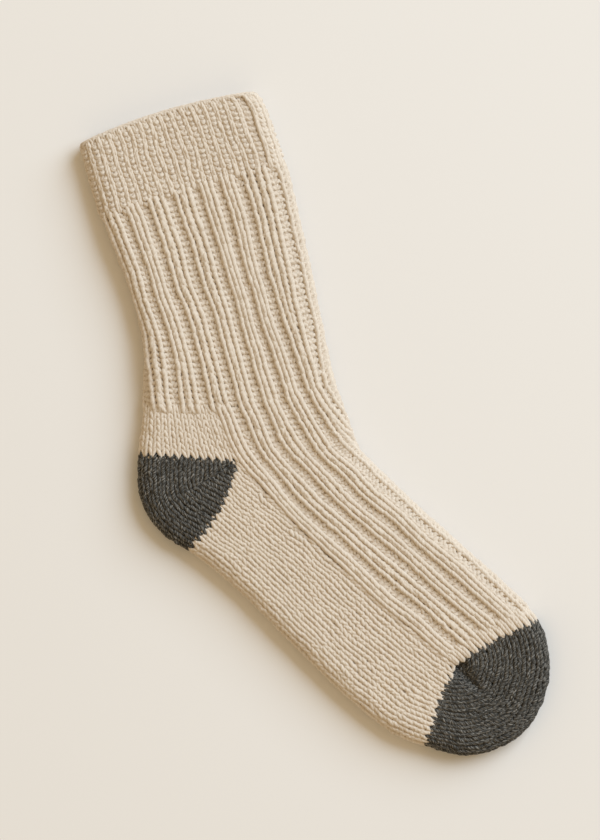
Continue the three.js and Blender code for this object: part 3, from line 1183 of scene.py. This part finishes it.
@dataclass
class Leg(Section):
    """The cast-on edge, the ribbed cuff and the ribbed leg."""

    cuff_rows: int = 13
    cuff_wales: int = 70
    cuff_gutter: float = 0.93  # share across the cuff of its one open gutter
    cuff_gutter_depth: float = 1.4 * MM
    cuff_squeeze: tuple[tuple[float, float], ...] = ((0.11, -0.11), (0.03, -0.03))
    edge_turns: int = 9
    edge_swing: float = 0.38 * MM
    edge_radius: float = 0.8 * MM
    edge_place: float = 0.23  # the share of the edge's depth at which its roll lies
    edge_steps: int = 720
    edge_unevenness: float = 0.08
    leg_rows: int = 36
    leg_wales: int = 48
    ribbing: Ribbing = Ribbing()
    wide_after: tuple[float, ...] = (18.0, 21.0)
    front_rib: float = 16.5 * MM  # between the gutters on either side of the front fold
    drift_from: float = 0.45
    drift_power: float = 1.15
    closes_from: float = 26.0  # the row from which the gutter at the front closes up
    top_gutters: tuple[float, ...] = (0.002, 0.118, 0.235, 0.375, 0.518, 0.63, 0.742, 0.92)
    low_gutters: tuple[float, ...] = (0.03, 0.175, 0.325, 0.475, 0.60, 0.72, 0.828, 0.928)
    looseness: float = 0.35 * MM
    cuff_yarn: Yarn = Yarn(
        radius=1.12 * MM, depth=0.5 * MM, rise=0.5 * MM, sink=-0.45 * MM, bow=0.12,
        bead=0.3, unevenness=0.12, backing=0.6 * MM,
    )
    leg_yarn: Yarn = Yarn(
        radius=1.42 * MM, bow=0.1, rise=0.6 * MM, unevenness=0.1, backing=0.1 * MM
    )

    def lines(self, start: str, end: str, rows: int) -> list[Array]:
        """Lays out rows between two stops.

        Args:
            start: The stop of the first row.
            end: The stop of the last row.
            rows: How many rows of knitting lie between them.

        Returns:
            The rows in plan, from back fold to front fold.
        """
        outline, split = self.maker.outline, self.maker.split
        backs = outline.between(f"{start}Back", f"{end}Back", rows + 1)
        middles = split.between(start, end, rows + 1)
        fronts = outline.between(f"{start}Front", f"{end}Front", rows + 1)
        share = np.linspace(0.0, 1.0, self.maker.FINE)[:, None]
        rows_in_plan = []
        for back, middle, front in zip(backs, middles, fronts):
            pull = 2 * middle - (back + front) / 2
            rows_in_plan.append(
                (1 - share) ** 2 * back + 2 * share * (1 - share) * pull + share**2 * front
            )
        return rows_in_plan

    def wale_map(self, cloth: Cloth) -> WaleMap:
        """Lets the gutters drift forwards down the leg.

        Args:
            cloth: The cloth of the leg.

        Returns:
            Where the leg's wales lie.
        """
        fold = self.maker.fold
        nodes = []
        for row, around in enumerate(cloth.lengths):
            layer = around / 2
            width = layer - 2 * fold.spare()
            drift = max(row / self.leg_rows - self.drift_from, 0.0) / (1 - self.drift_from)
            drift = drift**self.drift_power
            places = []
            for top, low in zip(self.top_gutters, self.low_gutters):
                share = top * (1 - drift) + low * drift
                arc = fold.arc_of(min(share, 1 - share) * width)
                places.append(arc if share < 0.5 else layer - arc)
            last = places[-1] + self.front_rib
            lower = self.leg_wales // 3 - len(places)
            step = (around + places[0] - last) / lower
            places += [last + step * count for count in range(lower + 1)]
            places = [places[-2] - around, *places, places[1] + around]
            closing = ease((row - self.closes_from) / (self.leg_rows - self.closes_from))
            narrow = len(self.top_gutters)
            nodes.append(self.ribbing.nodes(places, -3.0, around, narrow, closing))
        return WaleMap(-2.0, self.leg_wales + 2.0, nodes)

    def cuff_round(self, number: int) -> Row:
        """Works out one round of the cuff: one knit, one purl, drawn close together.

        Args:
            number: The round.

        Returns:
            The row.
        """
        pairs = self.cuff_wales // 2
        widths, lift = np.ones(self.cuff_wales), np.zeros(self.cuff_wales)
        gutter = 2 * round(self.cuff_gutter * pairs / 2) - 1
        widths[gutter - 1:gutter + 2] += (-0.25, 0.5, -0.25)
        lift[gutter] = -self.cuff_gutter_depth
        return Row(
            number + 0.5, np.cumsum(widths) - widths / 2 - 0.5, widths,
            np.tile([Stitch.KNIT.value, Stitch.PURL.value], pairs), closed=True,
            squeeze=np.tile(self.cuff_squeeze, (pairs, 1)), lift=lift,
        )

    def build(self) -> None:
        """Knits the edge, the cuff and the leg."""
        rng = np.random.default_rng(10)
        below = self.lines("mouth", "castOn", 2)[1:2]
        cuff = self.maker.ring(below + self.lines("castOn", "cuff", self.cuff_rows))
        spaced = np.arange(-2, self.cuff_wales + 3, dtype=float)
        evenly = [(spaced, spaced / self.cuff_wales)] * len(cuff.places)
        wales = WaleMap(-2.0, self.cuff_wales + 2.0, evenly)
        wales.loosen(rng, cuff.lengths, self.cuff_wales, self.looseness)
        rows = [self.cuff_round(number) for number in range(self.cuff_rows + 1)]
        knitter = Knitter(cuff, wales, self.cuff_yarn, 11)
        self.knit(knitter, rows, OATMEAL, ["cuff_knit"], ["ribbed_cuff"])
        edge = self.twisted_edge(self.maker.ring(self.lines("mouth", "castOn", 1)))
        self.finish(edge, OATMEAL, ["cast_on_knit"], ["cast_on_edge"])

        leg = self.maker.ring(self.lines("cuff", "band", self.leg_rows))
        wales = self.wale_map(leg)
        wales.loosen(rng, leg.lengths, self.leg_wales, self.looseness)
        purls = np.arange(0.0, self.leg_wales, 3.0)
        rows = [
            self.ribbing.row(number, wales, leg.lengths[number], purls, self.wide_after)
            for number in range(self.leg_rows)
        ]
        knitter = Knitter(leg, wales, self.leg_yarn, 12)
        self.knit(knitter, rows, OATMEAL, ["upper_leg_knit", "lower_leg_knit"], ["ribbed_leg"])

    def twisted_edge(self, cloth: Cloth) -> list[Strand]:
        """Makes the cast-on edge: a soft roll of three strands, slowly twisted.

        Args:
            cloth: The cloth along the mouth.

        Returns:
            The strands.
        """
        total, strands, rng = self.edge_steps, [], np.random.default_rng(9)
        share = np.arange(total) / total
        for number in range(3):
            angle = (share * self.edge_turns + number / 3) * 2 * math.pi
            size = self.edge_radius * (1 + self.edge_unevenness * wander(rng, total, 5))
            swing = self.edge_swing / self.plan.cast_on_depth * np.cos(angle)
            places, outward = cloth.at(self.edge_place + swing, share)
            points = places + outward * (self.edge_swing * np.sin(angle))[:, None]
            strands.append(tube(points, outward, size, 8, True))
        return strands


@dataclass
class Folded(Section):
    """A plain section whose rows wrap one fold and end inwards on both layers."""

    names: tuple[str, ...]
    nodes: tuple[str, ...]
    wool: WoolFinish
    yarn: Yarn
    seeds: tuple[int, int]  # for the stitches, and for how the wales wander
    looseness: float = 0.3 * MM
    wales: float = 12.0
    turning: float = 0.5  # the row at which it turns
    last_reach: float = 1.0  # how much further its last loops reach
    room: float = 1.5 * MM  # the least distance between two rows
    longest: int = 8  # how many rows a stretched loop may take up
    half_stitch: float = 0.45  # the part of a stitch that is rounded up to a whole one

    def lines(self) -> tuple[list[Array], list[float]]:
        """Returns its rows in plan and how many wales fit on one side of each."""
        raise NotImplementedError

    def shape(self, cloth: Cloth) -> None:
        """Changes the cloth before it is knitted."""

    def build(self) -> None:
        """Knits the section."""
        lines, counts = self.lines()
        cloth = self.maker.folded(lines)
        self.shape(cloth)
        reach = self.wales + 2.0
        ends = np.array([-reach, reach])
        wales = WaleMap(-reach, reach, [(ends, 0.5 + 0.5 * ends / count) for count in counts])
        rng = np.random.default_rng(self.seeds[1])
        wales.loosen(rng, cloth.lengths, 2 * self.wales, self.looseness)
        rows = [
            row
            for number, pair in enumerate(zip(counts, counts[1:]))
            for row in self.row(cloth, wales, number, sum(pair) / 2)
        ]
        rows[-1].reach *= self.last_reach
        self.knit(
            Knitter(cloth, wales, self.yarn, self.seeds[0]), rows, self.wool, self.names,
            self.nodes,
        )

    def row(self, cloth: Cloth, wales: WaleMap, number: int, count: float) -> list[Row]:
        """Works out one row, as far inwards from the fold as there is room for it.

        Args:
            cloth: The surface that the row follows.
            wales: Where the wales lie, numbered from the fold.
            number: The row.
            count: How many wales fit on one side.

        Returns:
            The row, or none where there is no room.
        """
        middle = number + 0.5
        at = np.array([middle - 0.5, middle + 0.5])
        whole = max(int(count + self.half_stitch), 1)
        widths = np.ones(whole)
        widths[-1] = count - (whole - 1)
        side = np.cumsum(widths) - widths / 2
        strides: list[float] = []
        for wale in side:
            ends = cloth.at(at, wales.share(at, np.full(2, wale)))[0]
            spacing = float(np.linalg.norm(ends[0] - ends[1]))
            stride = 1
            while spacing * stride < self.room and stride < self.longest:
                stride *= 2
            if int(abs(middle - self.turning)) % stride or spacing * stride < self.room:
                break
            strides.append(float(stride))
        if not strides:
            return []
        side, widths = side[:len(strides)], widths[:len(strides)]
        return [Row(
            middle,
            np.concatenate([-side[::-1], side]),
            np.concatenate([widths[::-1], widths]),
            np.ones(2 * len(side)),
            reach=np.array(strides[::-1] + strides),
        )]


@dataclass
class Band(Folded):
    """The plain band over the heel."""

    names: tuple[str, ...] = ("heel_band_knit",)
    nodes: tuple[str, ...] = ("heel_band",)
    wool: WoolFinish = OATMEAL
    yarn: Yarn = Yarn(radius=1.2 * MM, rise=0.0, bow=0.24, unevenness=0.08)
    seeds: tuple[int, int] = (21, 0)
    looseness: float = 0.0
    last_reach: float = LAST_REACH
    rows: int = 8

    def lines(self) -> tuple[list[Array], list[float]]:
        """Lays out straight rows from the heel's fold to the instep.

        Returns:
            The rows in plan, and how many wales fit on one side of each.
        """
        folds = self.maker.outline.between("bandBack", "heelTop", self.rows + 1)
        ends = self.maker.facing.between("band", "corner", self.rows + 1)
        lines = [bowed(a, b, np.zeros(2), self.maker.FINE) for a, b in zip(folds, ends)]
        return lines, [self.wales] * len(lines)


@dataclass
class Cup(Folded):
    """A cup of short rows: they turn on a line from its corner, where it makes a dimple."""

    names: tuple[str, ...] = ("heel_cup_knit",)
    nodes: tuple[str, ...] = ("heel_back", "heel_base")
    wool: WoolFinish = CHARCOAL
    yarn: Yarn = Yarn(
        radius=1.08 * MM, rise=0.0, bow=0.2, reach=1.02, depth=0.55 * MM, unevenness=0.12
    )
    seeds: tuple[int, int] = (22, 23)
    turning: float = 10.0
    stops: tuple[str, str, str] = ("heelTop", "heelMiddle", "heelSole")
    ends: tuple[str, str] = ("corner", "heel_pivot")  # of the line on which it turns
    dropped: float = 5.5  # by how many wales the row that turns is shorter
    bow: float = 4.5 * MM  # how far the last row is pushed along the foot
    bow_power: int = 2
    curl: float = 0.4  # how far the rows bend towards the line on which they turn
    dimple: tuple[float, float, float] = (0.0, 0.0, 2.2 * MM)  # by powers of a row's depth
    dimple_reach: float = 0.045

    def lines(self) -> tuple[list[Array], list[float]]:
        """Lays out rows that grow shorter, and longer again once they have turned.

        Returns:
            The rows in plan, and how many wales fit on one side of each.
        """
        half = int(self.turning)
        first, middle, last = self.stops
        folds = np.concatenate([
            self.maker.outline.between(first, middle, half + 1),
            self.maker.outline.between(middle, last, half + 1)[1:],
        ])
        corner, pivot = (getattr(self.plan, end) for end in self.ends)
        turn = unit(pivot - corner)
        lines, counts = [], []
        for number, fold in enumerate(folds):
            depth = min(number, 2 * half - number) / half
            end = corner + (pivot - corner) * depth
            late = max(number / half - 1, 0.0) ** self.bow_power
            line = bowed(fold, end, self.plan.along * self.bow * late, self.maker.FINE)
            lines.append(curled(line, turn, self.curl * ease(depth * 1.5), 1 - depth))
            counts.append(self.wales - self.dropped * depth)
        return lines, counts

    def shape(self, cloth: Cloth) -> None:
        """Draws the cloth in where the rows turn.

        Args:
            cloth: The cloth of the cup.
        """
        depths = 1 - np.abs(np.linspace(-1.0, 1.0, len(cloth.places)))
        much = sum(part * depths**power for power, part in enumerate(self.dimple))
        cloth.pinch(much, self.dimple_reach)


@dataclass
class Toe(Cup):
    """The toe's cup."""

    names: tuple[str, ...] = ("toe_knit",)
    nodes: tuple[str, ...] = ("toe_underside", "toe_top")
    seeds: tuple[int, int] = (41, 42)
    turning: float = 18.0
    stops: tuple[str, str, str] = ("toeSole", "toeTip", "toeFront")
    ends: tuple[str, str] = ("toe_corner", "toe_pivot")
    dropped: float = 4.0
    bow: float = -1.5 * MM
    bow_power: int = 3
    curl: float = 0.3
    dimple: tuple[float, float, float] = (5.2 * MM, -2.86 * MM, 0.0)
    dimple_reach: float = 0.055


def curled(line: Array, turn: Array, much: float, left: float) -> Array:
    """Bends a short row so that it meets the line on which it turns more nearly along it.

    Args:
        line: The row in plan, from its fold inwards.
        turn: The direction from the corner along the turning line.
        much: How strongly the row bends, as a share of its length.
        left: How much of the turning line is still ahead, from 1 to 0.

    Returns:
        The bent row.
    """
    share = np.linspace(0.0, 1.0, len(line))[:, None]
    length = float(np.linalg.norm(line[-1] - line[0]))
    chord = unit(line[0] - line[-1])
    lean = turn - chord * float(turn @ chord)
    return line + lean * (much * length * left) * (3 * share**2 * (1 - share))


@dataclass
class Sole(Folded):
    """The plain sole."""

    names: tuple[str, ...] = ("arch_knit", "sole_knit")
    nodes: tuple[str, ...] = ("sole",)
    wool: WoolFinish = OATMEAL
    yarn: Yarn = Yarn(radius=1.27 * MM, rise=0.0, bow=0.22, depth=0.42 * MM, unevenness=0.08)
    seeds: tuple[int, int] = (31, 33)
    looseness: float = 0.35 * MM
    last_reach: float = LAST_REACH
    kept: float = 10.0  # the wales that are left once the ankle is passed
    taper_rows: tuple[float, float] = (2.0, 18.0)
    heel_bow: float = 4.5 * MM

    def lines(self) -> tuple[list[Array], list[float]]:
        """Lays out rows along the foot, bowed near the heel.

        Returns:
            The rows in plan, and how many wales fit on one side of each.
        """
        folds = self.maker.outline.between("heelSole", "toeSole", FOOT_ROWS + 1)
        ends = self.maker.facing.between("corner", "toeCorner", FOOT_ROWS + 1)
        start, stop = self.taper_rows
        lines, counts = [], []
        for number, (fold, end) in enumerate(zip(folds, ends)):
            bow = self.plan.along * self.heel_bow * (1 - ease(number / stop))
            lines.append(bowed(fold, end, bow, self.maker.FINE))
            taper = min(max((number - start) / (stop - start), 0.0), 1.0)
            counts.append(self.wales + (self.kept - self.wales) * taper)
        return lines, counts


@dataclass
class Instep(Section):
    """The ribbed instep, whose ribs run on from the leg."""

    ankle_rows: int = 8
    wales: int = 31
    looseness: float = 0.35 * MM
    ribbing: Ribbing = Ribbing()
    wide_after: tuple[float, ...] = (11.5, 14.5)
    fold_rib: float = 16.5 * MM  # between the gutters on either side of the front fold
    next_rib: float = 12.4 * MM
    merging: tuple[float, float, float] = (8.0, 20.0, 9.5 * MM)  # rows, and how far the last goes
    front_gather: float = 1.35  # rows lie closer along the front of the ankle
    last_lift: float = 0.3 * MM
    fading: tuple[float, ...] = (0.8, 0.0, 0.0)  # the ribs' height before the toe
    gutter_rows: tuple[float, ...] = (0, 8, 20, 40, 58)
    gutters: tuple[tuple[float, ...], ...] = (
        (0.155, 0.162, 0.16, 0.195, 0.175),
        (0.355, 0.365, 0.395, 0.443, 0.44),
        (0.54, 0.575, 0.63, 0.673, 0.665),
        (0.737, 0.785, 0.865, 0.875, 0.87),
    )
    fifth_gutter: tuple[float, float] = (0.89, 0.95)  # closed, and hidden as it turns under
    turn_rows: float = 14.0
    bow_rows: tuple[float, ...] = (0, 8, 20, 45, 58)
    bows: tuple[float, ...] = (-1.9 * MM, 1.5 * MM, 1.5 * MM, 0.5 * MM, 1.5 * MM)
    yarn: Yarn = Yarn(
        radius=1.4 * MM, bow=0.1, rise=0.55 * MM, sink=1.2 * MM, unevenness=0.1,
        backing=0.1 * MM,
    )

    def lines(self) -> list[Array]:
        """Lays out rows from the front fold to the band and the sole.

        Returns:
            The rows in plan.
        """
        outline, facing = self.maker.outline, self.maker.facing
        fine = outline.between("heelFront", "toeFront", 2000)
        known = np.linspace(0.0, 1.0, len(fine))
        gathered = np.linspace(0.0, 1.0, FOOT_ROWS + 1) ** self.front_gather
        folds = np.concatenate([
            outline.between("bandFront", "heelFront", self.ankle_rows + 1)[:-1],
            read_line(fine, known, gathered),
        ])
        ends = np.concatenate([
            facing.between("band", "corner", self.ankle_rows + 1)[:-1],
            facing.between("corner", "toeCorner", FOOT_ROWS + 1),
        ])
        lines = []
        for number, (fold, end) in enumerate(zip(folds, ends)):
            chord = unit(fold - end)
            aside = np.array([-chord[1], chord[0]])
            bow = aside * np.interp(number, self.bow_rows, self.bows)
            lines.append(bowed(fold, end, bow, self.maker.FINE))
        return lines

    def build(self) -> None:
        """Knits the instep."""
        cloth = self.maker.folded(self.lines())
        wales = self.wale_map(cloth)
        wales.loosen(np.random.default_rng(34), cloth.lengths, self.wales, self.looseness)
        purls = np.arange(2.5, self.wales, 3.0)
        ends = (0.0, float(self.wales))
        ribbed = self.ankle_rows + FOOT_ROWS - len(self.fading)
        rows = [
            self.ribbing.row(
                number, wales, cloth.lengths[number], purls, self.wide_after, ends, relief
            )
            for number, relief in enumerate([1.0] * ribbed + list(self.fading))
        ]
        rows[-1].straight = True
        rows[-1].reach = np.full(len(rows[-1].kinds), LAST_REACH)
        rows[-1].lift = np.full(len(rows[-1].kinds), self.last_lift)
        knitter = Knitter(cloth, wales, self.yarn, 32)
        self.knit(knitter, rows, OATMEAL, ["ankle_knit", "instep_knit"], ["instep"])

    def wale_map(self, cloth: Cloth) -> WaleMap:
        """Spaces the ribs from the upper inner end round the front.

        Args:
            cloth: The cloth of the instep.

        Returns:
            Where the instep's wales lie.
        """
        fold = self.maker.fold
        nodes = []
        for row, around in enumerate(cloth.lengths):
            layer = around / 2
            width = layer - fold.spare()
            shares = [np.interp(row, self.gutter_rows, known) for known in self.gutters]
            shares.append(np.interp(row, (0, self.ankle_rows), self.fifth_gutter))
            *places, shown = (layer - fold.arc_of((1 - share) * width) for share in shares)
            turned = places[-1] + self.fold_rib
            over = ease(row / self.turn_rows)
            places.append(shown * (1 - over) + max(turned, shown) * over)
            places.append(places[-1] + self.fold_rib * (1 - over) + self.next_rib * over)
            start, rows, far = self.merging
            lowest = around - places[0] + far * ease((row - start) / rows)
            rest = self.wales // 3 - len(places)
            step = (lowest - places[-1]) / rest
            places += [places[-1] + step * (count + 1) for count in range(rest)]
            known, shares = self.ribbing.nodes(places, 2.5, around, len(self.gutters), 1.0)
            known = np.concatenate([[0.0], known, [self.wales]])
            shares = np.concatenate([[0.0], shares, [max(1.0, shares[-1])]])
            nodes.append((known, np.minimum(shares, 1.0)))
        return WaleMap(0.0, float(self.wales), nodes)


# ----------------------------------------------------------------------------- studio


@dataclass
class Studio:
    """A plain pale floor, a large soft light from the upper right, and the camera."""

    centre: tuple[float, float] = (0.6 * MM, 10.3 * MM)
    tilt: float = 16.7  # degrees that the sock leans in the view
    view_height: float = 455.1 * MM
    distance: float = 2.4
    light_aside: tuple[float, float] = (0.75, 0.66)  # to the right, and up in the view
    light_distance: float = 5.0
    light_size: float = 3.9
    light_rise: float = 36.0  # degrees over the floor
    light_power: float = 306.0
    light_colour: tuple[float, float, float] = (0.70, 0.865, 1.075)
    ambient: float = 0.55
    ambient_colour: tuple[float, float, float] = (1.02, 0.82, 0.55)
    floor_colour: tuple[float, float, float] = (0.83, 0.785, 0.72)
    floor_size: float = 3.0

    def build(self) -> None:
        """Sets out the floor, the lights and the camera."""
        scene = bpy.context.scene
        scene.view_settings.view_transform = "Standard"
        scene.view_settings.look = "None"
        self.floor()
        right, up = polar(-self.tilt, 1.0), polar(90 - self.tilt, 1.0)
        link = scene.collection.objects.link
        lens = bpy.data.cameras.new("camera")
        lens.sensor_width = 36.0
        lens.lens = lens.sensor_width * self.distance / self.view_height
        camera = bpy.data.objects.new("camera", lens)
        camera.location = (*self.centre, self.distance + 10 * MM)
        camera.rotation_euler = (0.0, 0.0, -math.radians(self.tilt))
        link(camera)
        scene.camera = camera

        aside = right * self.light_aside[0] + up * self.light_aside[1]
        rise = math.radians(self.light_rise)
        place = np.array([*(aside * math.cos(rise)), math.sin(rise)]) * self.light_distance
        lamp = bpy.data.lights.new("window", "AREA")
        lamp.shape = "SQUARE"
        lamp.size = self.light_size
        lamp.energy = self.light_power
        lamp.color = self.light_colour
        window = bpy.data.objects.new("window", lamp)
        window.location = tuple(place)
        window.rotation_mode = "QUATERNION"
        window.rotation_quaternion = Vector(place).to_track_quat("Z", "Y")
        link(window)

        world = bpy.data.worlds.new("room")
        world.use_nodes = True
        sky = world.node_tree.nodes["Background"]
        sky.inputs["Color"].default_value = (*self.ambient_colour, 1.0)
        sky.inputs["Strength"].default_value = self.ambient
        scene.world = world

    def floor(self) -> None:
        """Lays the floor."""
        size = self.floor_size
        mesh = bpy.data.meshes.new("floor")
        corners = [(-size, -size, 0.0), (size, -size, 0.0), (size, size, 0.0), (-size, size, 0.0)]
        mesh.from_pydata(corners, [], [(0, 1, 2, 3)])
        floor = bpy.data.objects.new("floor", mesh)
        bpy.context.scene.collection.objects.link(floor)
        material = bpy.data.materials.new("pale_surface")
        material.use_nodes = True
        shader = material.node_tree.nodes["Principled BSDF"]
        shader.inputs["Base Color"].default_value = (*self.floor_colour, 1.0)
        shader.inputs["Roughness"].default_value = 0.9
        shader.inputs["Specular IOR Level"].default_value = 0.1
        mesh.materials.append(material)
        floor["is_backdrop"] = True


def middle_of(plan: SockPlan) -> Array:
    """Finds the middle of the sock's box in its own plan.

    Args:
        plan: The sock's sizes.

    Returns:
        The place.
    """
    line = plan.outline().between("mouthBack", "mouthFront", 2000)
    line = np.concatenate([line, plan.split().between("mouth", "castOn", 2)])
    return (line.min(axis=0) + line.max(axis=0)) / 2


def main() -> None:
    """Builds the sock and its studio."""
    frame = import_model()
    log.info("%d nodes to dress", len(frame["nodes"]))
    packed = [list(corner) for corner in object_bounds()]
    plan = SockPlan()
    box_middle = (np.array(packed[0])[:2] + np.array(packed[1])[:2]) / 2
    maker = ClothMaker(plan, box_middle - middle_of(plan))
    for section in (Leg, Band, Cup, Sole, Instep, Toe):
        section(maker).build()
    Studio().build()


if __name__ == "__main__":
    main()
